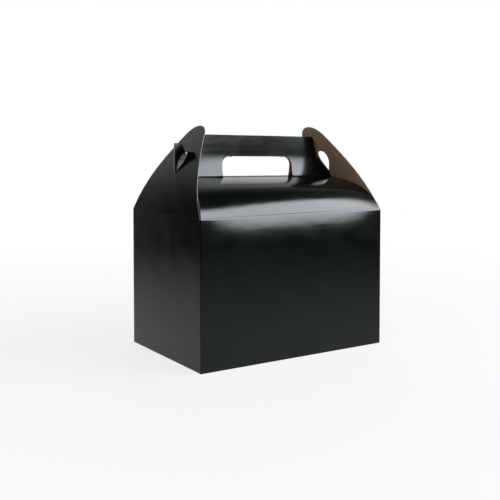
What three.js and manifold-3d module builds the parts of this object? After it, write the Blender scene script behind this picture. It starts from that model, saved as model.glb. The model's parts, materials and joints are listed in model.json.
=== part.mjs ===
// A gable carry carton, closed: four walls and an interlocked base, two curved roof panels that rise to a double
// handle with a hand hole, and a flap at each end that leans in over the roof and drops its slot over the handle.
// Units are millimetres. The origin is the middle of the base, +X along the front wall, +Y to the back, +Z up.
import * as THREE from "three";
import { mergeVertices } from "three/addons/utils/BufferGeometryUtils.js";
import Module from "manifold-3d";

// Board
const boardThickness = 0.5;
const fitGap = 0.35;

// Walls
const boxLength = 228.6;
const boxDepth = 152.4;
const wallHeight = 149.5;
const glueFlapWidth = 16;
const glueFlapSetback = 4;

// Front and back sheets, soft along the top crease: the panel pulls in and rolls over at mid-length
const softCreaseInset = 3.2;
const softCreaseHeight = 32;
const roofRise = 35.5;
const roofLeanAtLeftEnd = 22;
const roofLeanAtMiddle = 18;
const roofLeanAtRightEnd = 33;
const roofLeanAtFold = 82;
const roofCreaseStiffness = 29;
const roofFoldStiffness = 45;

// Handle panels, measured from the fold between roof and handle
const handleHeight = 45;
const handleSpread = 4.4;
const handleSpreadAtEnds = 0.8;
const handleMeetHeight = 23;
const handleTopInset = 38;
const handleTopRadius = 2;
const handHoleWidth = 92;
const handHoleHeight = 22;
const handHoleRadius = 8.5;

// Ends of the handle: a hook at the left, a plain shoulder at the right, both above the same notch
const notchHeight = 21.5;
const notchInset = 31.2;
const notchWidth = 4;
const hookFootHeight = 5.4;
const hookFootRise = 1;
const hookHeight = 37.4;
const hookTopWidth = 8.1;
const hookLip = 1;
const shoulderTipHeight = 5.6;
const shoulderHollow = 0.34;

// End flaps
const flapLength = 102;
const flapHalfWidth = 72;
const flapTipRadius = 23;
const flapLeanAtCrease = 6.5;
const flapLeanAtTip = 34.5;
const slotHalfWidth = 6.3;
const slotAboveNotch = 6.8;
const slotWidestShare = 0.67;

// Interlocked base: the closing flap is lowest, then the side flaps, then the locking flap, then the tongue
const closingFlapReach = 64;
const tongueReach = 112;
const tongueHalfWidth = 27;
const tongueRiseStart = 72;
const tongueRiseEnd = 88;
const sideFlapReach = 84;
const lockingFlapReach = 88;
const lockingNotchDepth = 26;
const lockingNotchMargin = 2;
const baseRampStart = 1;
const baseRampLength = 7;
const baseCornerRelief = 5;
const baseFlapTaper = 10;
const sideFlapTaper = 25;

const halfLength = boxLength / 2;
const halfDepth = boxDepth / 2;
const foldHeight = wallHeight + roofRise;
const handleTop = foldHeight + handleHeight;
const layerStep = boardThickness + fitGap;

const boardBlack = { color: 0x1d2224, roughness: 0.34, metalness: 0 };

const wasm = await Module();
wasm.setup();

// A closed geometry as a solid that can be joined and cut
function solidFrom(geometry) {
  geometry.deleteAttribute("normal");
  geometry.deleteAttribute("uv");
  const merged = mergeVertices(geometry, 1e-4);
  return new wasm.Manifold(
    new wasm.Mesh({
      numProp: 3,
      vertProperties: merged.attributes.position.array,
      triVerts: new Uint32Array(merged.index.array),
    }),
  );
}

// A solid as a mesh with a name
function meshFrom(solid, name, material) {
  const { vertProperties, triVerts } = solid.getMesh();
  const geometry = new THREE.BufferGeometry();
  geometry.setAttribute("position", new THREE.BufferAttribute(vertProperties, 3));
  geometry.setIndex(new THREE.BufferAttribute(triVerts, 1));
  geometry.computeVertexNormals();
  const mesh = new THREE.Mesh(geometry, material);
  mesh.name = name;
  return mesh;
}

// Directions for a flat outline: its own x and y, and the way it is extruded
const inPlan = [new THREE.Vector3(1, 0, 0), new THREE.Vector3(0, 1, 0), new THREE.Vector3(0, 0, 1)];
const facingFront = [new THREE.Vector3(1, 0, 0), new THREE.Vector3(0, 0, 1), new THREE.Vector3(0, -1, 0)];
const facingEnd = [new THREE.Vector3(0, 1, 0), new THREE.Vector3(0, 0, 1), new THREE.Vector3(1, 0, 0)];

// An outline extruded equally to both sides of its plane
function prism(shape, depth, directions) {
  const geometry = new THREE.ExtrudeGeometry(shape, { depth, bevelEnabled: false, curveSegments: 10 });
  geometry.translate(0, 0, -depth / 2);
  geometry.applyMatrix4(new THREE.Matrix4().makeBasis(...directions));
  return solidFrom(geometry);
}

function mix(a, b, share) {
  return a + (b - a) * share;
}

// Outer face of an end flap from its crease to its tip: x is the way in from the box's end, y is the height
// above the crease. The board bends in more and more, and the bend fades out towards the tip.
const flapSteps = 24;
const flapCurve = [new THREE.Vector2(0, 0)];
for (let i = 0; i < flapSteps; i++) {
  const along = (i + 0.5) / flapSteps;
  const lean = THREE.MathUtils.degToRad(mix(flapLeanAtCrease, flapLeanAtTip, along * (2 - along)));
  const step = new THREE.Vector2(Math.sin(lean), Math.cos(lean)).multiplyScalar(flapLength / flapSteps);
  flapCurve.push(flapCurve[i].clone().add(step));
}

// Way in from the box's end to the flap's outer face at a height above the crease
function flapInwardAt(height) {
  let i = 1;
  while (i < flapSteps && flapCurve[i].y < height) i++;
  const low = flapCurve[i - 1];
  const high = flapCurve[i];
  return mix(low.x, high.x, (height - low.y) / (high.y - low.y));
}

// Height above the crease of the point on the flap at a distance along it
function flapHeightAt(distance) {
  const place = Math.min(Math.max((distance / flapLength) * flapSteps, 0), flapSteps);
  const i = Math.min(Math.floor(place), flapSteps - 1);
  return mix(flapCurve[i].y, flapCurve[i + 1].y, place - i);
}

// Height above the crease at which the flap is a given distance from the crease, straight across its bend
function flapHeightAtRadius(radius) {
  let i = 1;
  while (i < flapSteps && flapCurve[i].length() < radius) i++;
  const low = flapCurve[i - 1].length();
  const high = flapCurve[i].length();
  return mix(flapCurve[i - 1].y, flapCurve[i].y, (radius - low) / (high - low));
}

// Way in from the box's end to a panel edge that lies just inside the flap
const flapClearance = layerStep / Math.cos(THREE.MathUtils.degToRad(flapLeanAtTip));
function panelEdgeAt(height) {
  return flapInwardAt(height - wallHeight) + flapClearance;
}

// Places of the handle's ends
const handleEnd = halfLength - panelEdgeAt(foldHeight);
const notchFloor = foldHeight + notchHeight;
const hookFoot = foldHeight + hookFootHeight;
const hookTop = foldHeight + hookHeight;
const hookOuter = flapInwardAt(hookFoot - wallHeight) - hookLip;
const hookInner = hookOuter + hookTopWidth;
const notchOuter = notchInset - notchWidth;

// Cross-section of the front sheet at a place along the box, from the floor up: x is the way in from the front
// face, y is the height. The walls are plain below the soft crease.
const softSteps = 5;
const roofSteps = 11;
const handleSteps = 4;
function sheetSection(x) {
  const softness = 1 - (x / halfLength) ** 2;
  const inset = softCreaseInset * softness;
  const points = [new THREE.Vector2(0, 0)];
  for (let i = 0; i < softSteps; i++) {
    const up = i / softSteps;
    points.push(new THREE.Vector2(inset * up ** 2, wallHeight - softCreaseHeight * (1 - up)));
  }
  const leanAtEnd = x < 0 ? roofLeanAtLeftEnd : roofLeanAtRightEnd;
  const leanLow = THREE.MathUtils.degToRad(mix(leanAtEnd, roofLeanAtMiddle, softness));
  const leanHigh = THREE.MathUtils.degToRad(roofLeanAtFold);
  const crease = new THREE.Vector2(inset, wallHeight);
  const spreadShare = Math.max(1 - (x / handleEnd) ** 2, 0);
  const fold = new THREE.Vector2(halfDepth - mix(handleSpreadAtEnds, handleSpread, spreadShare), foldHeight);
  const fromCrease = new THREE.Vector2(Math.sin(leanLow), Math.cos(leanLow)).multiplyScalar(roofCreaseStiffness);
  const toFold = new THREE.Vector2(Math.sin(leanHigh), Math.cos(leanHigh)).multiplyScalar(-roofFoldStiffness);
  const roof = new THREE.CubicBezierCurve(crease, crease.clone().add(fromCrease), fold.clone().add(toFold), fold);
  points.push(...roof.getPoints(roofSteps));
  const meet = new THREE.Vector2(halfDepth - fitGap / 2 - boardThickness, foldHeight + handleMeetHeight);
  const handle = new THREE.QuadraticBezierCurve(fold, new THREE.Vector2(meet.x, mix(fold.y, meet.y, 0.5)), meet);
  points.push(...handle.getPoints(handleSteps).slice(1));
  points.push(new THREE.Vector2(meet.x, handleTop));
  return points;
}

// The same cross-section moved in by the board's thickness
function innerFace(points) {
  return points.map((point, i) => {
    const before = point.clone().sub(points[Math.max(i - 1, 0)]).normalize();
    const after = points[Math.min(i + 1, points.length - 1)].clone().sub(point).normalize();
    const along = before.clone().add(after).normalize();
    const inward = new THREE.Vector2(along.y, -along.x);
    const bend = i > 0 && i < points.length - 1 ? along.dot(after) : 1;
    return point.clone().addScaledVector(inward, boardThickness / bend);
  });
}

// Front wall, roof and handle as one thick sheet, full length, before it is cut to outline
const sheetStations = 18;
function frontSheet() {
  const positions = [];
  for (let i = 0; i <= sheetStations; i++) {
    const x = mix(-halfLength, halfLength, i / sheetStations);
    const outer = sheetSection(x);
    const ring = [...outer, ...innerFace(outer).reverse()];
    ring.forEach((point) => positions.push(x, point.x - halfDepth, point.y));
  }
  const ringSize = positions.length / 3 / (sheetStations + 1);
  const index = [];
  for (let i = 0; i < sheetStations; i++) {
    for (let j = 0; j < ringSize; j++) {
      const a = i * ringSize + j;
      const b = i * ringSize + ((j + 1) % ringSize);
      index.push(a, a + ringSize, b, b, a + ringSize, b + ringSize);
    }
  }
  const lastRing = sheetStations * ringSize;
  for (let j = 0; j < ringSize / 2 - 1; j++) {
    const across = ringSize - 1 - j;
    index.push(j, j + 1, across, across, j + 1, across - 1);
    index.push(lastRing + j, lastRing + across, lastRing + j + 1);
    index.push(lastRing + across, lastRing + across - 1, lastRing + j + 1);
  }
  const geometry = new THREE.BufferGeometry();
  geometry.setAttribute("position", new THREE.Float32BufferAttribute(positions, 3));
  geometry.setIndex(index);
  return solidFrom(geometry);
}

// One end of the roof and handle outline from the crease up: x is the way in from the box's end, y the height
const edgeSteps = 8;
const shoulderSteps = 6;
const cornerSteps = 4;
function endOutline(hooked) {
  const points = [];
  const tip = foldHeight + shoulderTipHeight;
  const edgeTop = hooked ? hookFoot - hookFootRise : tip;
  for (let i = 0; i <= edgeSteps; i++) {
    const height = mix(wallHeight, edgeTop, i / edgeSteps);
    points.push(new THREE.Vector2(panelEdgeAt(height), height));
  }
  const notch = new THREE.Vector2(notchOuter, notchFloor);
  if (hooked) {
    points.push(new THREE.Vector2(hookOuter, hookFoot));
    points.push(new THREE.Vector2(hookOuter, hookTop));
    points.push(new THREE.Vector2(hookInner, hookTop));
    points.push(notch);
  } else {
    const low = points.at(-1);
    const hollow = new THREE.Vector2(mix(notch.x, low.x, 0.5 - shoulderHollow), mix(low.y, notch.y, 0.5));
    const shoulder = new THREE.QuadraticBezierCurve(low, hollow, notch);
    points.push(...shoulder.getPoints(shoulderSteps).slice(1));
  }
  points.push(new THREE.Vector2(notchInset, notchFloor));
  const corner = new THREE.Vector2(handleTopInset, handleTop);
  const below = corner.clone().sub(points.at(-1)).setLength(handleTopRadius);
  const beside = new THREE.Vector2(corner.x + handleTopRadius, corner.y);
  const topCorner = new THREE.QuadraticBezierCurve(corner.clone().sub(below), corner, beside);
  points.push(...topCorner.getPoints(cornerSteps));
  return points;
}

// Outline of the walls, roof and handle, seen from the front. Its foot is below the floor, clear of the walls.
const clearOfEdge = 1;
function sheetOutline() {
  const left = endOutline(true).map((p) => new THREE.Vector2(p.x - halfLength, p.y));
  const right = endOutline(false).map((p) => new THREE.Vector2(halfLength - p.x, p.y));
  const base = [new THREE.Vector2(-halfLength, -clearOfEdge), new THREE.Vector2(halfLength, -clearOfEdge)];
  const creases = [new THREE.Vector2(halfLength, wallHeight), new THREE.Vector2(-halfLength, wallHeight)];
  return new THREE.Shape([...base, creases[0], ...right, ...left.reverse(), creases[1]]);
}

// Hand hole: its foot is on the fold, its upper corners are round
function handHole() {
  const half = handHoleWidth / 2;
  const foot = foldHeight + boardThickness;
  const top = foldHeight + handHoleHeight;
  const shape = new THREE.Shape();
  shape.moveTo(-half, foot);
  shape.lineTo(half, foot);
  shape.lineTo(half, top - handHoleRadius);
  shape.absarc(half - handHoleRadius, top - handHoleRadius, handHoleRadius, 0, Math.PI / 2);
  shape.absarc(handHoleRadius - half, top - handHoleRadius, handHoleRadius, Math.PI / 2, Math.PI);
  return shape;
}

// A base flap at the front wall, turned to its own wall. Underside gives its height at distances from the wall.
function baseFlap(underside, outline, wallDistance, turn) {
  const top = underside.map(([distance, height]) => [distance, height + boardThickness]).reverse();
  const section = new THREE.Shape([...underside, ...top].map(([x, y]) => new THREE.Vector2(x, y)));
  const plate = prism(section, boxLength, facingEnd);
  const plan = new THREE.Shape(outline.map(([x, y]) => new THREE.Vector2(x, y)));
  const cut = prism(plan, boxLength, inPlan);
  return plate
    .intersect(cut)
    .translate([0, -wallDistance, 0])
    .rotate([0, 0, turn]);
}

// The same outline on both sides of the middle
function bothSides(points) {
  return [...points, ...points.map(([x, y]) => [-x, y]).reverse()];
}

function closingFlap() {
  const half = halfLength - baseCornerRelief;
  const tongueTop = 3 * layerStep;
  const underside = [[0, 0], [tongueRiseStart, 0], [tongueRiseEnd, tongueTop], [tongueReach, tongueTop]];
  const outline = bothSides([
    [half, 0],
    [half - baseFlapTaper, closingFlapReach],
    [tongueHalfWidth + baseFlapTaper / 2, closingFlapReach],
    [tongueHalfWidth, closingFlapReach + baseFlapTaper / 2],
    [tongueHalfWidth, tongueReach - baseFlapTaper],
    [tongueHalfWidth - baseFlapTaper, tongueReach],
  ]);
  return baseFlap(underside, outline, halfDepth, 0);
}

function lockingFlap() {
  const half = halfLength - boardThickness;
  const height = 2 * layerStep;
  const underside = [[0, 0], [baseRampStart, 0], [baseRampLength, height], [lockingFlapReach, height]];
  const notchHalf = tongueHalfWidth + lockingNotchMargin;
  const outline = bothSides([
    [half, 0],
    [half - fitGap, baseRampLength],
    [half - baseFlapTaper, lockingFlapReach],
    [notchHalf + baseFlapTaper, lockingFlapReach],
    [notchHalf, lockingFlapReach - lockingNotchDepth],
  ]);
  return baseFlap(underside, outline, halfDepth, 180);
}

function sideFlap(turn) {
  const near = halfDepth - baseCornerRelief;
  const underside = [[0, 0], [baseRampStart, 0], [baseRampLength, layerStep], [sideFlapReach, layerStep]];
  const outline = bothSides([
    [near, 0],
    [near - baseFlapTaper, sideFlapReach / 2],
    [near - sideFlapTaper, sideFlapReach],
  ]);
  return baseFlap(underside, outline, halfLength, turn);
}

// A wall at one end, as high as the crease
function endWall(side) {
  const geometry = new THREE.BoxGeometry(boardThickness, boxDepth, wallHeight);
  geometry.translate(side * (halfLength - boardThickness / 2), 0, wallHeight / 2);
  return solidFrom(geometry);
}

// Glue flap of the back wall, stuck to the inside of the right end wall
function glueFlap() {
  const back = halfDepth - boardThickness / 2;
  const front = back - glueFlapWidth;
  const foot = glueFlapSetback;
  const top = wallHeight - glueFlapSetback;
  const outline = [[back, foot], [back, top], [front, top - glueFlapSetback], [front, foot + glueFlapSetback]];
  const shape = new THREE.Shape(outline.map(([x, y]) => new THREE.Vector2(x, y)));
  return prism(shape, boardThickness * 2, facingEnd).translate([halfLength - boardThickness, 0, 0]);
}

function carton() {
  const sheet = frontSheet();
  const upper = sheet
    .add(sheet.rotate([0, 0, 180]))
    .intersect(prism(sheetOutline(), boxDepth + 2 * clearOfEdge, facingFront))
    .subtract(prism(handHole(), boxDepth, facingFront));
  return [
    endWall(-1),
    endWall(1),
    glueFlap(),
    closingFlap(),
    lockingFlap(),
    sideFlap(90),
    sideFlap(-90),
  ].reduce((sum, solid) => sum.add(solid), upper);
}

// Slot of an end flap, a drop with its point down: x across the flap, y the height above the crease. Each curve
// leaves its ends along the lines to two places, given as shares of the half width and of the height.
const slotFootCurve = [[0.35, 0.22], [1, 0.45]];
const slotTopCurve = [[1, 0.86], [0.75, 1]];
function slotOutline() {
  const foot = hookFoot - wallHeight;
  const top = notchFloor + slotAboveNotch - wallHeight;
  const at = ([across, up]) => [slotHalfWidth * across, mix(foot, top, up)];
  const onLeft = ([across, up]) => at([-across, up]);
  const [lowNear, lowFar] = slotFootCurve;
  const [highNear, highFar] = slotTopCurve;
  const shape = new THREE.Shape();
  shape.moveTo(0, foot);
  shape.bezierCurveTo(...at(lowNear), ...at(lowFar), ...at([1, slotWidestShare]));
  shape.bezierCurveTo(...at(highNear), ...at(highFar), 0, top);
  shape.bezierCurveTo(...onLeft(highFar), ...onLeft(highNear), ...onLeft([1, slotWidestShare]));
  shape.bezierCurveTo(...onLeft(lowFar), ...onLeft(lowNear), 0, foot);
  return shape;
}

// Relief slit through the slot's point and above its top, which lets the hook pass as the flap swings out
function slitOutline() {
  const half = handleSpreadAtEnds + fitGap;
  const foot = hookFoot - hookFootRise - wallHeight - 2 * fitGap;
  const top = flapHeightAtRadius(Math.hypot(hookInner, hookTop - wallHeight) + 2 * fitGap);
  return new THREE.Shape([
    new THREE.Vector2(-half, foot),
    new THREE.Vector2(half, foot),
    new THREE.Vector2(half, top),
    new THREE.Vector2(-half, top),
  ]);
}

// Outline of an end flap, straight sides that run into a round tip, seen from the end
function flapOutline() {
  const tipCentre = flapLength - flapTipRadius;
  const slant = Math.hypot(flapHalfWidth, tipCentre);
  const sideAngle = Math.acos(flapTipRadius / slant) - Math.atan2(tipCentre, flapHalfWidth);
  const points = [new THREE.Vector2(flapHalfWidth, 0)];
  const sideSteps = 6;
  const arcSteps = 8;
  const touch = new THREE.Vector2(Math.cos(sideAngle), Math.sin(sideAngle)).multiplyScalar(flapTipRadius);
  for (let i = 1; i < sideSteps; i++) {
    const along = i / sideSteps;
    points.push(new THREE.Vector2(mix(flapHalfWidth, touch.x, along), mix(0, tipCentre + touch.y, along)));
  }
  for (let i = 0; i < arcSteps; i++) {
    const angle = mix(sideAngle, Math.PI / 2, i / arcSteps);
    points.push(new THREE.Vector2(Math.cos(angle) * flapTipRadius, tipCentre + Math.sin(angle) * flapTipRadius));
  }
  const left = points.map((p) => new THREE.Vector2(-p.x, p.y)).reverse();
  const outline = [...points, new THREE.Vector2(0, flapLength), ...left];
  return new THREE.Shape(outline.map((p) => new THREE.Vector2(p.x, flapHeightAt(p.y))));
}

// An end flap about its crease: x is the way in, z the height. It starts a gap above the wall.
function endFlap(hooked) {
  const outer = flapCurve.map((point) => point.clone());
  outer[0].copy(outer[1]).setLength(fitGap);
  const section = new THREE.Shape([...outer, ...innerFace(outer).reverse()].reverse());
  const bent = prism(section, flapHalfWidth * 2, facingFront);
  const through = boxLength;
  const cut = bent
    .intersect(prism(flapOutline(), through, facingEnd))
    .subtract(prism(slotOutline(), through, facingEnd));
  return hooked ? cut.subtract(prism(slitOutline(), through, facingEnd)) : cut;
}

const material = new THREE.MeshStandardMaterial(boardBlack);
const handleBox = new THREE.Group();
handleBox.add(meshFrom(carton(), "carton", material));

const leftFlap = meshFrom(endFlap(true), "left_end_flap", material);
leftFlap.position.set(-halfLength, 0, wallHeight);
handleBox.add(leftFlap);

const rightCrease = new THREE.Group();
rightCrease.position.set(halfLength, 0, wallHeight);
rightCrease.rotation.z = Math.PI;
rightCrease.add(meshFrom(endFlap(false), "right_end_flap", material));
handleBox.add(rightCrease);

export default handleBox;
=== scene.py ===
import json
import math

import bpy
import numpy as np
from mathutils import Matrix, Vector
from mathutils.geometry import delaunay_2d_cdt


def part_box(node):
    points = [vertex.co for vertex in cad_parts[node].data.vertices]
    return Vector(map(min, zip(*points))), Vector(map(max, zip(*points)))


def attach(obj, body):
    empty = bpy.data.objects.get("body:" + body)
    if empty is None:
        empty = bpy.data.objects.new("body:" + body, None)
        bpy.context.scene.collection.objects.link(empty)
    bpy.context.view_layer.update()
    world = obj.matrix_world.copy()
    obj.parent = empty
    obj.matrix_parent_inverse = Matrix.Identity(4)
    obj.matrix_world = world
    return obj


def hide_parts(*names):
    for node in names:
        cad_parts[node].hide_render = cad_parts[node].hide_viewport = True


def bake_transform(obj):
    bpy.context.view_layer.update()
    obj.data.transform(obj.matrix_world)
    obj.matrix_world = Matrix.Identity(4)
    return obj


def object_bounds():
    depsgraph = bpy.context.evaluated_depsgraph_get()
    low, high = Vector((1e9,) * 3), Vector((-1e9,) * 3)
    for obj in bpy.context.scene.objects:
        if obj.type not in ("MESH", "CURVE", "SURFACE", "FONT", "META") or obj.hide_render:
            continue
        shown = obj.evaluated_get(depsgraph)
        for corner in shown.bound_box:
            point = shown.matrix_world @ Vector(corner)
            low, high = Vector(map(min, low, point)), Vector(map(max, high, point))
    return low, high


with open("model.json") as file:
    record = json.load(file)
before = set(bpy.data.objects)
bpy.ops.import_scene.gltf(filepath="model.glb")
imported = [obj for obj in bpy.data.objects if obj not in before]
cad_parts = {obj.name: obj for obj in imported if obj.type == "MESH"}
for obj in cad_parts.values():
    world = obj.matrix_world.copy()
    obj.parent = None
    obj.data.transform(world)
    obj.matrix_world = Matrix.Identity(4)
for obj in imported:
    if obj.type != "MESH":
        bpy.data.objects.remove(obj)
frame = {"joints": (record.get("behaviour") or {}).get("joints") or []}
cad_low, cad_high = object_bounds()

# Sizes from the frame
MM = 0.001
carton_low, carton_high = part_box("carton")
half_length = carton_high.x / MM
half_depth = carton_high.y / MM
handle_top = carton_high.z / MM
wall_height = frame["joints"][0]["pos_m"][2] / MM
length = 2 * half_length
depth = 2 * half_depth

# Below, lengths are millimetres, leans are degrees, and shares run from 0 to 1

# Board
board = 0.5
fit_gap = 0.35
layer_step = board + fit_gap
fold_radius = 0.8
score_depth = 0.2
score_width = 0.55
wave_height = 0.22
roof_wave_share = 0.5
flap_wave_share = 0.5
wave_fade_at_corner = 30
small_wave_share = 0.4
flap_wave_shift = (40, 10)
wear_reach = 3
sharp_angle = 50

# Roof and handle, measured as the cross-section of the front sheet
handle_height = 45
fold_height = handle_top - handle_height
roof_length = 82
soft_crease_inset = 2.6
soft_crease_height = 32
soft_crease_fullness = 5
roof_lean_at_left_end = 22
roof_lean_at_middle = 18
roof_lean_at_right_end = 33
roof_lean_at_fold = 82
roof_crease_stiffness = 29
roof_fold_stiffness = 45
handle_spread = 5.8
handle_spread_at_ends = 0.8
handle_parting = 1.3
handle_meet_height = 23
handle_flare = 0.03
handle_slope = 0.014
handle_top_inset = 38
handle_top_radius = 2
hand_hole_width = 92
hand_hole_height = 22
hand_hole_radius = 10
nick_width = 1.6
nick_depth = 0.9
nick_shape = ((1, 0), (1.3, 1), (1.7, 1), (2, 0))

# Ends of the handle
notch_height = 21.5
notch_inset = 31.2
notch_width = 4
hook_foot_height = 5.4
hook_foot_rise = 1
hook_height = 35.4
hook_top_width = 8.1
hook_lip = 0.2
shoulder_tip_height = 5.6
shoulder_hollow = 0.34

# End flaps
flap_length = 102
flap_half_width = 75
flap_foot_flare = 2
flap_side_bow = 0.8
flap_tip_radius = 24
flap_lean_at_crease = 6.5
flap_lean_at_tip = 34.5
slot_half_width = 7.8
slot_above_notch = 6.8
slot_widest_share = 0.67
slot_foot_width_share = 0.35
slot_foot_share = 0.22
slot_side_share = 0.45
slot_top_width_share = 0.75
slot_top_share = 0.6
crease_half_height = 0.6
crease_score_share = 0.5

# Base flaps and glue flap
closing_flap_reach = 64
tongue_reach = 112
tongue_half_width = 27
tongue_rise_start = 72
tongue_rise_end = 88
side_flap_reach = 84
locking_flap_reach = 88
locking_notch_depth = 26
locking_notch_margin = 2
base_ramp_start = 1
base_ramp_length = 7
base_corner_relief = 5
base_flap_taper = 10
side_flap_taper = 25
glue_flap_width = 16
glue_flap_setback = 4
glue_fold_clearance = 0.05
free_edge_setback = 1

# Fineness of the meshes
outline_step = 3
curve_step = 2
slot_step = 1
column_step = 4
base_row_step = 6
wall_row_step = 5
bend_row_step = 2.4
flap_column_step = 2.5
flap_row_step = 2.2
fold_line_gaps = (0.3, 0.65, 1.1, 2)
least_line_gap = 0.2
loop_margin = 0.5
crease_margin = 0.05
merge_gap = 1e-5
normal_step = 0.05
zero_guard = 1e-9

# Fineness, in counts
flap_steps = 204
row_samples = 1200
rounding_samples = 5
crease_rows = 9
roof_edge_points = 24
shoulder_steps = 12
handle_corner_steps = 5
hole_corner_points = 9
flap_tip_points = 15
flap_side_points = 17
slot_foot_steps = 12
slot_top_steps = 10

# Where each panel's middle lies along the blank
left_middle = -(half_length + half_depth)
right_middle = half_length + half_depth
back_middle = -(length + depth)
glue_fold = back_middle - half_length + board + glue_fold_clearance
free_edge = right_middle + half_depth - free_edge_setback


def mix(a, b, share):
    return a + (b - a) * share


def smooth_step(low, high, value):
    share = np.clip((value - low) / (high - low), 0, 1)
    return share * share * (3 - 2 * share)


# Bend of an end flap, from its crease to its tip: the way in from the box's end, and the height above
flap_distance = np.linspace(0, flap_length, flap_steps + 1)
flap_middle = (flap_distance[1:] + flap_distance[:-1]) / 2 / flap_length
flap_lean = np.radians(mix(flap_lean_at_crease, flap_lean_at_tip, flap_middle * (2 - flap_middle)))
flap_inward = np.concatenate(([0], np.cumsum(np.sin(flap_lean)))) * flap_length / flap_steps
flap_rise = np.concatenate(([0], np.cumsum(np.cos(flap_lean)))) * flap_length / flap_steps

flap_clearance = layer_step / math.cos(math.radians(flap_lean_at_tip))
notch_floor = fold_height + notch_height
hook_foot = fold_height + hook_foot_height
hook_top = fold_height + hook_height


def flap_inward_at(height):
    return float(np.interp(height - wall_height, flap_rise, flap_inward))


def flap_distance_at(height):
    return float(np.interp(height - wall_height, flap_rise, flap_distance))


def panel_edge_at(height):
    return flap_inward_at(height) + flap_clearance


handle_end = half_length - panel_edge_at(fold_height)
hook_outer = flap_inward_at(hook_foot) - hook_lip
hook_inner = hook_outer + hook_top_width


def bezier(points, t):
    """A cubic curve through the first and last of four values"""
    a, b, c, d = points
    return (1 - t) ** 3 * a + 3 * t * (1 - t) ** 2 * b + 3 * t**2 * (1 - t) * c + t**3 * d


def sheet_section(x, w):
    """Bent front sheet: the way in from the front face and the height, at x and w up the board"""
    from_middle = np.abs(x) / half_length
    inset = soft_crease_inset * (1 - from_middle**soft_crease_fullness)
    soft = np.clip((w - wall_height + soft_crease_height) / soft_crease_height, 0, 1)
    lean_at_end = np.where(x < 0, roof_lean_at_left_end, roof_lean_at_right_end)
    lean_low = np.radians(mix(roof_lean_at_middle, lean_at_end, from_middle**2))
    lean_high = math.radians(roof_lean_at_fold)
    spread_share = np.maximum(1 - (x / handle_end) ** 2, 0)
    fold_in = half_depth - mix(handle_spread_at_ends, handle_spread, spread_share)
    t = np.clip((w - wall_height) / roof_length, 0, 1)
    roof_in = bezier((
        inset,
        inset + roof_crease_stiffness * np.sin(lean_low),
        fold_in - roof_fold_stiffness * math.sin(lean_high),
        fold_in,
    ), t)
    roof_up = bezier((
        wall_height,
        wall_height + roof_crease_stiffness * np.cos(lean_low),
        fold_height - roof_fold_stiffness * math.cos(lean_high),
        fold_height,
    ), t)
    above = w - wall_height - roof_length
    meet = np.clip(above / handle_meet_height, 0, 1)
    meet_in = half_depth - fit_gap / 2 - board - handle_parting * spread_share
    flare = handle_flare * spread_share * np.maximum(above - handle_meet_height, 0)
    handle_in = mix(fold_in, meet_in, 2 * meet - meet**2) - flare
    way_in = np.where(w < wall_height, inset * soft**2, np.where(above < 0, roof_in, handle_in))
    height = np.where(w < wall_height, w, np.where(above < 0, roof_up, fold_height + above))
    return way_in, height


def lift_at(x):
    """How much higher than level the handle stands at x: its hooked end is lifted a little"""
    return handle_slope * (hand_hole_width / 2 - x)


def row_at(x, height):
    """How far up the board a height on the bent front sheet is"""
    rows = np.linspace(wall_height, wall_height + roof_length + handle_height, row_samples)
    return float(np.interp(height, sheet_section(np.full_like(rows, x), rows)[1], rows))


def ramp(distance, corners):
    return np.interp(distance, [c[0] for c in corners], [c[1] for c in corners])


def base_height(distance, layer):
    """Height of a base flap's underside at a distance from its wall"""
    return ramp(distance, [(base_ramp_start, 0), (base_ramp_length, layer * layer_step)])


def carton_point(p, w):
    """The carton's outer face, with sharp folds"""
    front = np.abs(p) <= half_length
    left = (p < -half_length) & (p >= left_middle - half_depth)
    right = p > half_length
    glue = p < glue_fold
    along = p - np.select([front, left, right], [0, left_middle, right_middle], back_middle)
    way_in, height = sheet_section(np.clip(along, -half_length, half_length), w)
    sides = left | right
    way_in = np.where(sides, 0, way_in)
    world_x = np.where(front, along, -along)
    height = height + lift_at(world_x) * smooth_step(wall_height, wall_height + roof_length, w)
    height = np.where(sides, w, height)
    tongue = [(tongue_rise_start, 0), (tongue_rise_end, 3 * layer_step)]
    under = np.select([front, sides], [ramp(-w, tongue), base_height(-w, 1)], base_height(-w, 2))
    way_in = np.where(w < 0, -w, way_in)
    height = np.where(w < 0, under, height)
    x = np.select(
        [front, left, right, glue],
        [along, way_in - half_length, half_length - way_in, back_middle - glue_fold],
        -along,
    )
    y = np.select(
        [front, left, right, glue],
        [way_in - half_depth, -along, along, half_depth - (glue_fold - p)],
        half_depth - way_in,
    )
    height = np.where(glue, w, height)
    return np.stack([x, y, height], axis=-1)


def rounded(point, p, w, radius):
    """The same surface with its folds rounded"""
    offsets = np.linspace(-radius, radius, rounding_samples)
    total = 0
    for dp in offsets:
        for dw in offsets:
            total = total + point(p + dp * np.clip(w / radius, 0, 1), w + dw)
    return total / len(offsets) ** 2


def normals(surface, p, w):
    """Outward directions of a folded surface"""
    step = normal_step
    along = surface(p + step, w) - surface(p - step, w)
    up = surface(p, w + step) - surface(p, w - step)
    across = np.cross(along, up)
    return across / np.linalg.norm(across, axis=-1, keepdims=True)


def score(distance):
    """Depth of the pressed line that a fold follows"""
    return score_depth * np.exp(-((distance / score_width) ** 2))


def waves(p, w):
    """Slow unevenness of a board that was pressed and folded by hand, from 0 to 1"""
    slow = np.sin(p / 19 + 0.7) * np.sin(w / 23 + 1.1)
    cross = np.sin(p / 31 - w / 17 + 2.3)
    small = np.sin(p / 9.5 + w / 12.5) * np.sin(w / 8.5 - 0.4)
    return 0.5 + (slow + cross + small_wave_share * small) / (4 + 2 * small_wave_share)


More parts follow.
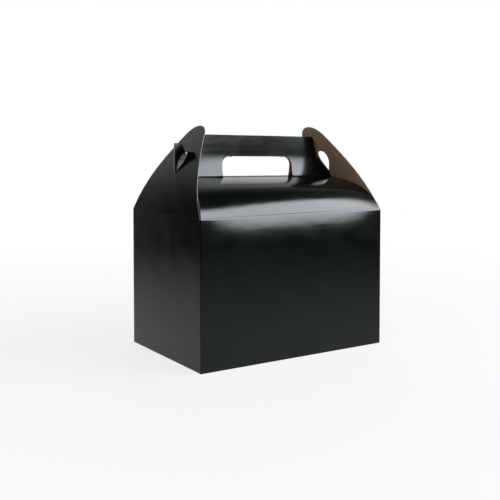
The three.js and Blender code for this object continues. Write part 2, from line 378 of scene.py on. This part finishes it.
def carton_dents(p, w):
    """How far the carton's face lies inside its ideal shape"""
    wall = np.clip(w / wall_height, 0, 1)
    roof = np.clip((w - wall_height) / roof_length, 0, 1)
    on_roof = roof_wave_share * np.sin(math.pi * roof)
    panel = np.where(w < wall_height, np.sin(math.pi * wall), on_roof)
    corner_gap = np.minimum(
        np.minimum(np.abs(p - half_length), np.abs(p + half_length)),
        np.minimum(np.abs(p - left_middle + half_depth), np.abs(p - glue_fold)),
    )
    fade = smooth_step(0, wave_fade_at_corner, corner_gap)
    sheets = (np.abs(p) < half_length) | (p < left_middle - half_depth)
    crease = np.where(sheets, score(w - wall_height), 0)
    return wave_height * panel * fade * waves(p, w) + crease


# Flat outlines
def both_sides(points):
    return points + [(-x, y) for x, y in reversed(points)]


def curve(start, handle_a, handle_b, end, steps):
    t = np.linspace(0, 1, steps + 1)[1:]
    xs = bezier((start[0], handle_a[0], handle_b[0], end[0]), t)
    ys = bezier((start[1], handle_a[1], handle_b[1], end[1]), t)
    return list(zip(xs, ys))


def bend(start, corner, end, steps):
    """A quadratic curve, without its start"""
    a, b, c = np.array(start), np.array(corner), np.array(end)
    t = np.linspace(0, 1, steps + 1)[1:]
    return [tuple((1 - u) ** 2 * a + 2 * u * (1 - u) * b + u**2 * c) for u in t]


def end_outline(hooked):
    """One end of the roof and handle from the crease up: the way in from the box's end, and height"""
    edge_top = hook_foot - hook_foot_rise if hooked else fold_height + shoulder_tip_height
    points = [(panel_edge_at(h), h) for h in np.linspace(wall_height, edge_top, roof_edge_points)]
    notch = (notch_inset - notch_width, notch_floor)
    if hooked:
        points += [(hook_outer, hook_foot), (hook_outer, hook_top), (hook_inner, hook_top), notch]
    else:
        low = points[-1]
        hollow = (mix(notch[0], low[0], 0.5 - shoulder_hollow), mix(low[1], notch[1], 0.5))
        points += bend(low, hollow, notch, shoulder_steps)
    points.append((notch_inset, notch_floor))
    corner = np.array([handle_top_inset, handle_top])
    way = np.array(points[-1]) - corner
    below = corner + way / np.linalg.norm(way) * handle_top_radius
    beyond = (handle_top_inset + handle_top_radius, handle_top)
    return points + [tuple(below)] + bend(below, corner, beyond, handle_corner_steps)


def upper_outline(middle, hook_side):
    """Top edge of the front or back sheet on the blank, from its right end to its left end"""
    ends = []
    for side in (1, -1):
        points = end_outline(side == hook_side)
        placed = [(side * (half_length - x), height) for x, height in points]
        ends.append([(middle + x, row_at(x, height)) for x, height in placed])
    return ends[0] + ends[1][::-1]


def hand_hole(middle):
    """The hole's edge, with a small torn nick that hangs from its top near each end"""
    half = hand_hole_width / 2
    foot = fold_height + board
    top = fold_height + hand_hole_height
    radius = hand_hole_radius
    points = [(half, foot)]
    for angle in np.linspace(0, math.pi / 2, hole_corner_points):
        place = (half - radius + radius * math.cos(angle), top - radius + radius * math.sin(angle))
        points.append(place)
    for along, down in nick_shape:
        points.append((half - radius - along * nick_width, top - down * nick_depth))
    return [(middle + x, row_at(x, height)) for x, height in both_sides(points)]


def closing_flap_outline():
    half = half_length - base_corner_relief
    return both_sides([
        (half, 0),
        (half - base_flap_taper, -closing_flap_reach),
        (tongue_half_width + base_flap_taper / 2, -closing_flap_reach),
        (tongue_half_width, -closing_flap_reach - base_flap_taper / 2),
        (tongue_half_width, base_flap_taper - tongue_reach),
        (tongue_half_width - base_flap_taper, -tongue_reach),
    ])


def locking_flap_outline():
    half = half_length - 2 * board
    notch_half = tongue_half_width + locking_notch_margin
    return both_sides([
        (half, 0),
        (half - fit_gap, -base_ramp_length),
        (half - base_flap_taper, -locking_flap_reach),
        (notch_half + base_flap_taper, -locking_flap_reach),
        (notch_half, locking_notch_depth - locking_flap_reach),
    ])


def side_flap_outline():
    near = half_depth - base_corner_relief
    return both_sides([
        (near, 0),
        (near - base_flap_taper, -side_flap_reach / 2),
        (near - side_flap_taper, -side_flap_reach),
    ])


def shifted(points, middle):
    return [(middle + x, y) for x, y in points]


def wall_top(middle):
    """Top of an end wall, from its right to its left: the crease strip of the flap stands in the dip"""
    dip = wall_height - crease_half_height
    half = flap_half_width
    return shifted([(half, wall_height), (half, dip), (-half, dip), (-half, wall_height)], middle)


def carton_outline():
    """The blank's edge, turning left, without the end flaps"""
    glue_end = glue_fold - glue_flap_width
    low = glue_flap_setback
    high = wall_height - glue_flap_setback
    bottom = [(glue_end, low + glue_flap_setback), (glue_fold, low), (glue_fold, 0)]
    bottom += shifted(locking_flap_outline()[::-1], back_middle)
    bottom += [(back_middle + half_length, 0)]
    bottom += shifted(side_flap_outline()[::-1], left_middle)
    bottom += [(-half_length, 0)]
    bottom += closing_flap_outline()[::-1]
    bottom += [(half_length, 0)]
    bottom += shifted(side_flap_outline()[::-1], right_middle)
    bottom += [(free_edge, 0)]
    top = [(free_edge, wall_height)] + wall_top(right_middle) + [(half_length, wall_height)]
    top += upper_outline(0, -1)
    top += [(-half_length, wall_height)]
    top += wall_top(left_middle) + [(left_middle - half_depth, wall_height)]
    top += upper_outline(back_middle, 1)
    top += [(glue_fold, wall_height), (glue_fold, high), (glue_end, high - glue_flap_setback)]
    return bottom + top


def subdivided(points, step):
    """The same closed outline with no stretch longer than step"""
    fine = []
    for start, end in zip(points, points[1:] + points[:1]):
        parts = max(1, math.ceil(math.dist(start, end) / step))
        for i in range(parts):
            fine.append((mix(start[0], end[0], i / parts), mix(start[1], end[1], i / parts)))
    return fine


def lines_between(low, high, step):
    return list(np.linspace(low, high, max(2, round((high - low) / step) + 1)))


def lines_at_fold(place):
    """Grid lines that follow a fold's round and its pressed line"""
    return [place + side * gap for gap in fold_line_gaps for side in (-1, 1)] + [place]


def merged(lines):
    """The lines in order, without those that lie closer than the least gap to the one before"""
    kept = []
    for line in sorted(lines):
        if not kept or line - kept[-1] > least_line_gap:
            kept.append(line)
    return np.array(kept)


def gap_to_loops(points, loops):
    """Distance from each point to the nearest stretch of the loops"""
    nearest = np.full(len(points), np.inf)
    for loop in loops:
        ring = np.array(loop)
        for a, b in zip(ring, np.roll(ring, -1, axis=0)):
            way = b - a
            share = np.clip(((points - a) @ way) / max(way @ way, zero_guard), 0, 1)
            nearest = np.minimum(nearest, np.linalg.norm(points - a - share[:, None] * way, axis=1))
    return nearest


def inside_loop(points, loop):
    """Which points lie inside a loop"""
    inside = np.zeros(len(points), bool)
    ring = np.array(loop)
    for a, b in zip(ring, np.roll(ring, -1, axis=0)):
        crosses = (a[1] > points[:, 1]) != (b[1] > points[:, 1])
        if a[1] != b[1]:
            reach = a[0] + (points[:, 1] - a[1]) * (b[0] - a[0]) / (b[1] - a[1])
            inside ^= crosses & (points[:, 0] < reach)
    return inside


def flat_triangles(outline, holes, columns, rows, margin):
    """Triangles that fill an outline and follow its grid lines: points, and three corners for each"""
    grid = np.array(np.meshgrid(columns, rows)).reshape(2, -1).T
    keep = inside_loop(grid, outline)
    for hole in holes:
        keep &= ~inside_loop(grid, hole)
    grid = grid[keep]
    grid = grid[gap_to_loops(grid, [outline] + holes) > margin]
    points = []
    edges = []
    for loop in [outline] + holes:
        start = len(points)
        points += [Vector(place) for place in loop]
        edges += [(start + i, start + (i + 1) % len(loop)) for i in range(len(loop))]
    points += [Vector(place) for place in grid]
    inside_of_loops = 1
    made = delaunay_2d_cdt(points, edges, [], inside_of_loops, merge_gap, False)
    flat = np.array([tuple(v) for v in made[0]])
    faces = np.array(made[2])
    centres = flat[faces].mean(axis=1)
    solid = inside_loop(centres, outline)
    for hole in holes:
        solid &= ~inside_loop(centres, hole)
    return flat, faces[solid].tolist()


OUTER, INNER, EDGE = range(3)


def board_mesh(name, surface, flat, faces, dents, loops):
    """A folded board as one closed mesh: outer face, inner face and the cut edge between them"""
    p, w = flat[:, 0], flat[:, 1]
    out = normals(surface, p, w)
    outer = surface(p, w) - out * dents[:, None]
    inner = outer - out * board
    places = np.clip(np.concatenate([outer, inner]) * MM, cad_low, cad_high)
    count = len(flat)
    used = {}
    for face in faces:
        for a, b in zip(face, face[1:] + face[:1]):
            used[a, b] = True
    rim = [(a, b) for a, b in used if (b, a) not in used]
    all_faces = [tuple(face) for face in faces]
    all_faces += [tuple(count + i for i in reversed(face)) for face in faces]
    all_faces += [(b, a, count + a, count + b) for a, b in rim]
    mesh = bpy.data.meshes.new(name)
    mesh.from_pydata(places.tolist(), [], all_faces)
    slots = [OUTER] * len(faces) + [INNER] * len(faces) + [EDGE] * len(rim)
    mesh.polygons.foreach_set("material_index", slots)
    for material in (coated_board, kraft_lining, cut_edge):
        mesh.materials.append(material)
    store_blank(mesh, np.concatenate([flat, flat]))
    wear = np.clip(1 - gap_to_loops(flat, loops) / wear_reach, 0, 1)
    mesh.attributes.new("wear", "FLOAT", "POINT").data.foreach_set("value", np.tile(wear, 2))
    mesh.shade_smooth()
    mesh.set_sharp_from_angle(angle=math.radians(sharp_angle))
    piece = bpy.data.objects.new(name, mesh)
    bpy.context.scene.collection.objects.link(piece)
    return piece


def store_blank(mesh, flat):
    """Keeps the flat place of every point, in metres, for the materials' grain"""
    layer = mesh.uv_layers.new(name="blank")
    corners = np.zeros(len(mesh.loops), np.int32)
    mesh.loops.foreach_get("vertex_index", corners)
    layer.data.foreach_set("uv", (flat[corners] * MM).ravel())


def carton_surface(p, w):
    return rounded(carton_point, p, w, fold_radius)


def make_carton():
    outline = subdivided(carton_outline(), outline_step)
    holes = [subdivided(hand_hole(middle), curve_step) for middle in (0, back_middle)]
    columns = lines_between(glue_fold - glue_flap_width, free_edge, column_step)
    for fold_place in (glue_fold, left_middle - half_depth, -half_length, half_length):
        columns += lines_at_fold(fold_place)
    fold_row = wall_height + roof_length
    bend_row = wall_height - soft_crease_height
    rows = lines_between(-tongue_reach, 0, base_row_step)
    rows += lines_between(0, bend_row, wall_row_step)
    rows += lines_between(bend_row, wall_height, bend_row_step)
    rows += lines_between(wall_height, fold_row, bend_row_step)
    rows += lines_between(fold_row, fold_row + handle_height, bend_row_step)
    for fold_place in (0, wall_height, fold_row):
        rows += lines_at_fold(fold_place)
    flat, faces = flat_triangles(outline, holes, merged(columns), merged(rows), loop_margin)
    dents = carton_dents(flat[:, 0], flat[:, 1])
    piece = board_mesh("carton_board", carton_surface, flat, faces, dents, [outline] + holes)
    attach(piece, "carton")
    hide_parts("carton")


def flap_point(side):
    """Outer face of an end flap and its crease: side is -1 at the left end and 1 at the right"""
    def point(v, s):
        inward = np.interp(s, flap_distance, flap_inward)
        rise = np.where(s < 0, s, np.interp(s, flap_distance, flap_rise))
        return np.stack([side * (half_length - inward), side * v, wall_height + rise], axis=-1)
    return point


def flap_outline():
    tip_centre = flap_length - flap_tip_radius
    half = flap_half_width - flap_foot_flare
    slant = math.hypot(half, tip_centre)
    side_angle = math.acos(flap_tip_radius / slant) - math.atan2(tip_centre, half)
    arc = np.linspace(side_angle, math.pi / 2, flap_tip_points)
    tip = [(math.cos(a) * flap_tip_radius, tip_centre + math.sin(a) * flap_tip_radius) for a in arc]
    right = []
    for t in np.linspace(0, 1, flap_side_points)[:-1]:
        swell = flap_foot_flare * (1 - t) ** 4 + flap_side_bow * math.sin(math.pi * t) ** 2
        right.append((mix(half, tip[0][0], t) + swell, mix(crease_half_height, tip[0][1], t)))
    right += tip[:-1]
    return right + [(0, flap_length)] + [(-x, y) for x, y in reversed(right)]


def slot_outline():
    """A drop with its point down, where the ends of the handle come through"""
    foot = flap_distance_at(hook_foot)
    top = flap_distance_at(notch_floor + slot_above_notch)
    wide = mix(foot, top, slot_widest_share)
    half = slot_half_width
    foot_bend = (slot_foot_width_share * half, mix(foot, top, slot_foot_share))
    side_bend = (half, mix(foot, top, slot_side_share))
    side = curve((0, foot), foot_bend, side_bend, (half, wide), slot_foot_steps)
    high_bend = (half, mix(wide, top, slot_top_share))
    top_bend = (slot_top_width_share * half, top)
    side += curve((half, wide), high_bend, top_bend, (0, top), slot_top_steps)
    return [(0, foot)] + side + [(-x, y) for x, y in reversed(side[:-1])]


def flap_dents(v, s):
    along = np.clip(s / flap_length, 0, 1)
    unevenness = waves(v + flap_wave_shift[0], s + flap_wave_shift[1])
    return flap_wave_share * wave_height * np.sin(math.pi * along) * unevenness


def make_flap(name, node, body, side):
    outline = subdivided(flap_outline(), curve_step)
    holes = [subdivided(slot_outline(), slot_step)]
    columns = merged(lines_between(-flap_half_width, flap_half_width, flap_column_step))
    rows = merged(lines_between(0, flap_length, flap_row_step))
    flat, faces = flat_triangles(outline, holes, columns, rows, loop_margin)
    dents = flap_dents(flat[:, 0], flat[:, 1])
    piece = board_mesh(name, flap_point(side), flat, faces, dents, [outline] + holes)
    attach(piece, body)
    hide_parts(node)


def make_crease(name, side):
    """The folded strip of board between an end wall and its flap"""
    half = flap_half_width
    reach = crease_half_height
    strip = [(-half, -reach), (half, -reach), (half, reach), (-half, reach)]
    outline = subdivided(strip, outline_step)
    columns = lines_between(-half, half, outline_step)
    rows = np.linspace(-reach, reach, crease_rows)
    flat, faces = flat_triangles(outline, [], columns, rows, crease_margin)
    surface = flap_point(side)
    ends = [[(half, -reach), (half, reach)], [(-half, -reach), (-half, reach)]]
    dents = crease_score_share * score(flat[:, 1])
    piece = board_mesh(name, surface, flat, faces, dents, ends)
    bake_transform(piece)


# Materials: pairs of colours run from the darker to the lighter
ink = ((0.002, 0.003, 0.0032, 1), (0.0036, 0.005, 0.0053, 1))
scuffed = (0.2, 0.19, 0.17, 1)
varnish_tint = (0.9, 0.98, 1, 1)
varnish_roughness = (0.13, 0.18)
kraft = ((0.27, 0.178, 0.118, 1), (0.37, 0.252, 0.172, 1))
kraft_dark_fibre = (0.12, 0.075, 0.045, 1)
kraft_pale_fibre = (0.45, 0.34, 0.25, 1)
cut_fibre = ((0.24, 0.24, 0.235, 1), (0.5, 0.5, 0.49, 1))
pale_top = (0.85, 0.85, 0.85, 1)
usual_noise = (0.3, 0.7)


def new_material(name):
    material = bpy.data.materials.new(name)
    material.use_nodes = True
    nodes = material.node_tree.nodes
    return material, nodes, material.node_tree.links, nodes["Principled BSDF"]


def blank_place(nodes, links, scale=(1, 1, 1)):
    """Flat place on the board, in metres times scale, as a texture coordinate"""
    uv = nodes.new("ShaderNodeUVMap")
    uv.uv_map = "blank"
    mapping = nodes.new("ShaderNodeMapping")
    mapping.inputs["Scale"].default_value = scale
    links.new(uv.outputs["UV"], mapping.inputs["Vector"])
    return mapping.outputs["Vector"]


def noise(nodes, links, place, scale, detail, roughness=0.5):
    texture = nodes.new("ShaderNodeTexNoise")
    texture.inputs["Scale"].default_value = scale
    texture.inputs["Detail"].default_value = detail
    texture.inputs["Roughness"].default_value = roughness
    links.new(place, texture.inputs["Vector"])
    return texture.outputs["Fac"]


def color_between(nodes, links, value, dark, light):
    """The dark colour where the value is low, the light one where it is high"""
    ramp_node = nodes.new("ShaderNodeValToRGB")
    low, high = ramp_node.color_ramp.elements
    low.position, high.position = usual_noise
    low.color, high.color = dark, light
    links.new(value, ramp_node.inputs["Fac"])
    return ramp_node.outputs["Color"]


def value_range(nodes, links, value, source, target):
    """A value moved from one pair of ends to another, and held between them"""
    node = nodes.new("ShaderNodeMapRange")
    node.inputs["From Min"].default_value, node.inputs["From Max"].default_value = source
    node.inputs["To Min"].default_value, node.inputs["To Max"].default_value = target
    links.new(value, node.inputs["Value"])
    return node.outputs["Result"]


def bump(nodes, links, height, distance, under=None):
    """Relief of a texture, with its distance in metres, over the relief under it"""
    node = nodes.new("ShaderNodeBump")
    node.inputs["Distance"].default_value = distance
    links.new(height, node.inputs["Height"])
    if under is not None:
        links.new(under, node.inputs["Normal"])
    return node.outputs["Normal"]


def mix_between(nodes, links, kind, share, a, b):
    """The first of two values where the share is 0, the second where it is 1: kind is FLOAT or RGBA"""
    node = nodes.new("ShaderNodeMix")
    node.data_type = kind
    links.new(share, node.inputs["Factor"])
    for socket, value in ((node.inputs["A"], a), (node.inputs["B"], b)):
        if isinstance(value, bpy.types.NodeSocket):
            links.new(value, socket)
        else:
            socket.default_value = value
    return node.outputs["Result"]


def multiply(nodes, links, a, b):
    node = nodes.new("ShaderNodeMath")
    node.operation = "MULTIPLY"
    links.new(a, node.inputs[0])
    links.new(b, node.inputs[1])
    return node.outputs["Value"]


def make_coated_board():
    """Cloudy black ink under a gloss varnish with a slight orange peel, scuffed along the cuts"""
    material, nodes, links, shader = new_material("coated_board")
    place = blank_place(nodes, links)
    clouds = noise(nodes, links, place, scale=28, detail=4)
    black = color_between(nodes, links, clouds, *ink)
    wear = nodes.new("ShaderNodeAttribute")
    wear.attribute_name = "wear"
    rim = value_range(nodes, links, wear.outputs["Fac"], (0.8, 1), (0, 0.6))
    rub = noise(nodes, links, place, scale=900, detail=3)
    rubbed = value_range(nodes, links, rub, (0.5, 0.72), (0, 1))
    scuffs = multiply(nodes, links, rim, rubbed)
    worn = mix_between(nodes, links, "RGBA", scuffs, black, scuffed)
    links.new(worn, shader.inputs["Base Color"])
    haze = noise(nodes, links, place, scale=45, detail=3)
    roughness = value_range(nodes, links, haze, usual_noise, varnish_roughness)
    links.new(roughness, shader.inputs["Roughness"])
    shader.inputs["IOR"].default_value = 1.3
    shader.inputs["Specular Tint"].default_value = varnish_tint
    pits = noise(nodes, links, place, scale=520, detail=2)
    peel = bump(nodes, links, pits, distance=0.00002)
    grain = blank_place(nodes, links, scale=(1, 3.2, 1))
    fibres = noise(nodes, links, grain, scale=60, detail=2)
    relief = bump(nodes, links, fibres, distance=0.00005, under=peel)
    links.new(relief, shader.inputs["Normal"])
    return material


def make_kraft_lining():
    """Unbleached inside of the board: long pale and dark fibres over mottled brown"""
    material, nodes, links, shader = new_material("kraft_lining")
    place = blank_place(nodes, links)
    mottle = noise(nodes, links, place, scale=90, detail=5, roughness=0.6)
    brown = color_between(nodes, links, mottle, *kraft)
    grain = blank_place(nodes, links, scale=(1, 7, 1))
    fibre = noise(nodes, links, grain, scale=420, detail=4, roughness=0.65)
    dark = value_range(nodes, links, fibre, (0.56, 0.68), (0, 0.45))
    pale = value_range(nodes, links, fibre, (0.42, 0.3), (0, 0.35))
    with_dark = mix_between(nodes, links, "RGBA", dark, brown, kraft_dark_fibre)
    with_pale = mix_between(nodes, links, "RGBA", pale, with_dark, kraft_pale_fibre)
    links.new(with_pale, shader.inputs["Base Color"])
    shader.inputs["Roughness"].default_value = 0.82
    shader.inputs["IOR"].default_value = 1.4
    links.new(bump(nodes, links, fibre, distance=0.00006), shader.inputs["Normal"])
    return material


def make_cut_edge():
    """Cut through the board's layers: grey fibres"""
    material, nodes, links, shader = new_material("cut_edge")
    place = blank_place(nodes, links)
    torn = noise(nodes, links, place, scale=1400, detail=4, roughness=0.7)
    links.new(color_between(nodes, links, torn, *cut_fibre), shader.inputs["Base Color"])
    shader.inputs["Roughness"].default_value = 0.9
    links.new(bump(nodes, links, torn, distance=0.00006), shader.inputs["Normal"])
    return material


# Stage: lengths in metres, angles in degrees
table_radius = 0.9
table_fade_start = 0.18
table_whiteness = 0.8
ambient = 0.2
dark_studio = 0.02
backdrop_azimuth = 50
backdrop_edge = (0.24, 0.42)
backdrop_top = (0.3, 0.85)
softbox_lower_edge = (0, 0.1)
softbox_upper_edge = (0.8, 1)
lower_edge_strength = 0.5
upper_edge_strength = 0.1


def rays(nodes, links, *kinds):
    """1 for light rays of any of these kinds"""
    path = nodes.new("ShaderNodeLightPath")
    total = path.outputs[kinds[0]]
    for kind in kinds[1:]:
        either = nodes.new("ShaderNodeMath")
        either.operation = "MAXIMUM"
        links.new(total, either.inputs[0])
        links.new(path.outputs[kind], either.inputs[1])
        total = either.outputs["Value"]
    return total


def mix_shader(nodes, links, share, a, b):
    node = nodes.new("ShaderNodeMixShader")
    links.new(share, node.inputs["Fac"])
    links.new(a, node.inputs[1])
    links.new(b, node.inputs[2])
    return node.outputs["Shader"]


def backdrop(nodes, links):
    """1 towards the white paper that hangs behind the carton, 0 towards the dark studio round it"""
    direction = nodes.new("ShaderNodeTexCoord").outputs["Generated"]
    towards = nodes.new("ShaderNodeVectorMath")
    towards.operation = "DOT_PRODUCT"
    angle = math.radians(backdrop_azimuth)
    links.new(direction, towards.inputs[0])
    towards.inputs[1].default_value = (math.sin(angle), math.cos(angle), 0)
    split = nodes.new("ShaderNodeSeparateXYZ")
    links.new(direction, split.inputs["Vector"])
    width = value_range(nodes, links, towards.outputs["Value"], backdrop_edge, (0, 1))
    height = value_range(nodes, links, split.outputs["Z"], backdrop_top, (1, 0))
    return multiply(nodes, links, width, height)


def make_world():
    """White to the camera and through glass; gloss shows a white backdrop and a dark studio before it"""
    world = bpy.data.worlds.new("studio")
    bpy.context.scene.world = world
    world.use_nodes = True
    nodes, links = world.node_tree.nodes, world.node_tree.links
    background = nodes["Background"]
    background.inputs["Color"].default_value = (1, 1, 1, 1)
    gloss = value_range(nodes, links, backdrop(nodes, links), (0, 1), (dark_studio, 1))
    mirrored = rays(nodes, links, "Is Glossy Ray")
    unseen = mix_between(nodes, links, "FLOAT", mirrored, ambient, gloss)
    direct = rays(nodes, links, "Is Camera Ray", "Is Transmission Ray")
    strength = mix_between(nodes, links, "FLOAT", direct, unseen, 1)
    links.new(strength, background.inputs["Strength"])


def make_table():
    """A pale round table top whose rim fades out"""
    bpy.ops.mesh.primitive_circle_add(vertices=128, radius=table_radius, fill_type="NGON")
    table = bpy.context.object
    table.name = "table"
    material, nodes, links, shader = new_material("pale_table")
    shader.inputs["Base Color"].default_value = pale_top
    shader.inputs["Roughness"].default_value = 0.7
    geometry = nodes.new("ShaderNodeNewGeometry")
    radius = nodes.new("ShaderNodeVectorMath")
    radius.operation = "LENGTH"
    links.new(geometry.outputs["Position"], radius.inputs[0])
    rim = value_range(nodes, links, radius.outputs["Value"], (table_fade_start, table_radius), (0, 1))
    direct = rays(nodes, links, "Is Camera Ray", "Is Glossy Ray", "Is Transmission Ray")
    whiteness = value_range(nodes, links, direct, (0, 1), (0, table_whiteness))
    white = nodes.new("ShaderNodeEmission")
    white.inputs["Color"].default_value = (1, 1, 1, 1)
    white.inputs["Strength"].default_value = 1
    top = mix_shader(nodes, links, whiteness, shader.outputs["BSDF"], white.outputs["Emission"])
    clear = nodes.new("ShaderNodeBsdfTransparent").outputs["BSDF"]
    faded = mix_shader(nodes, links, rim, top, clear)
    links.new(faded, nodes["Material Output"].inputs["Surface"])
    table.data.materials.append(material)


def make_softbox(name, azimuth, distance, low, high, width, radiance, only_gloss=False):
    """An upright soft light that faces the box, azimuth 0 before the front and 90 off the right end"""
    light = bpy.data.lights.new(name, "AREA")
    light.shape = "RECTANGLE"
    light.size = width
    light.size_y = high - low
    light.energy = radiance * math.pi * light.size * light.size_y
    lamp = bpy.data.objects.new(name, light)
    angle = math.radians(azimuth)
    away = Vector((math.sin(angle), -math.cos(angle), 0))
    lamp.location = away * distance + Vector((0, 0, (low + high) / 2))
    lamp.rotation_euler = away.to_track_quat("Z", "Y").to_euler()
    lamp.visible_camera = False
    lamp.visible_diffuse = not only_gloss
    lamp.visible_glossy = only_gloss
    if only_gloss:
        dim_edges(light)
    bpy.context.scene.collection.objects.link(lamp)


def dim_edges(light):
    """A softbox whose lower and upper edges are dimmer than its middle"""
    light.use_nodes = True
    nodes, links = light.node_tree.nodes, light.node_tree.links
    geometry = nodes.new("ShaderNodeNewGeometry")
    split = nodes.new("ShaderNodeSeparateXYZ")
    links.new(geometry.outputs["Parametric"], split.inputs["Vector"])
    up = split.outputs["Y"]
    lower = value_range(nodes, links, up, softbox_lower_edge, (lower_edge_strength, 1))
    upper = value_range(nodes, links, up, softbox_upper_edge, (1, upper_edge_strength))
    links.new(multiply(nodes, links, lower, upper), nodes["Emission"].inputs["Strength"])


def make_camera():
    data = bpy.data.cameras.new("camera")
    camera = bpy.data.objects.new("camera", data)
    bpy.context.scene.collection.objects.link(camera)
    image_width = 500
    principal_row = 180
    focal_pixels = 809
    turn_right = 32.89
    tilt_down = 2.63
    data.sensor_width = 36
    data.lens = focal_pixels / image_width * data.sensor_width
    data.shift_y = (principal_row - image_width / 2) / image_width
    camera.location = (-0.4917, -0.7468, 0.2226)
    camera.rotation_euler = (math.radians(90 - tilt_down), 0, math.radians(-turn_right))
    data.clip_start = 0.01
    bpy.context.scene.camera = camera


coated_board = make_coated_board()
kraft_lining = make_kraft_lining()
cut_edge = make_cut_edge()

make_carton()
make_flap("left_flap_board", "left_end_flap", "left_flap", -1)
make_flap("right_flap_board", "right_end_flap", "right_flap", 1)
make_crease("left_crease", -1)
make_crease("right_crease", 1)

make_world()
make_table()
key = dict(azimuth=48, low=0.222, width=1.7)
make_softbox("key_light", distance=1.35, high=1.43, radiance=4, **key)
make_softbox("key_gloss", distance=1.34, high=1.48, radiance=20, only_gloss=True, **key)
make_softbox("fill_light", azimuth=-80, distance=1.5, low=0.15, high=1.15, width=1.2, radiance=2)
make_softbox("rim_light", azimuth=145, distance=1.5, low=0.25, high=1.1, width=1.3, radiance=3)
make_camera()
bpy.context.scene.view_settings.view_transform = "Standard"
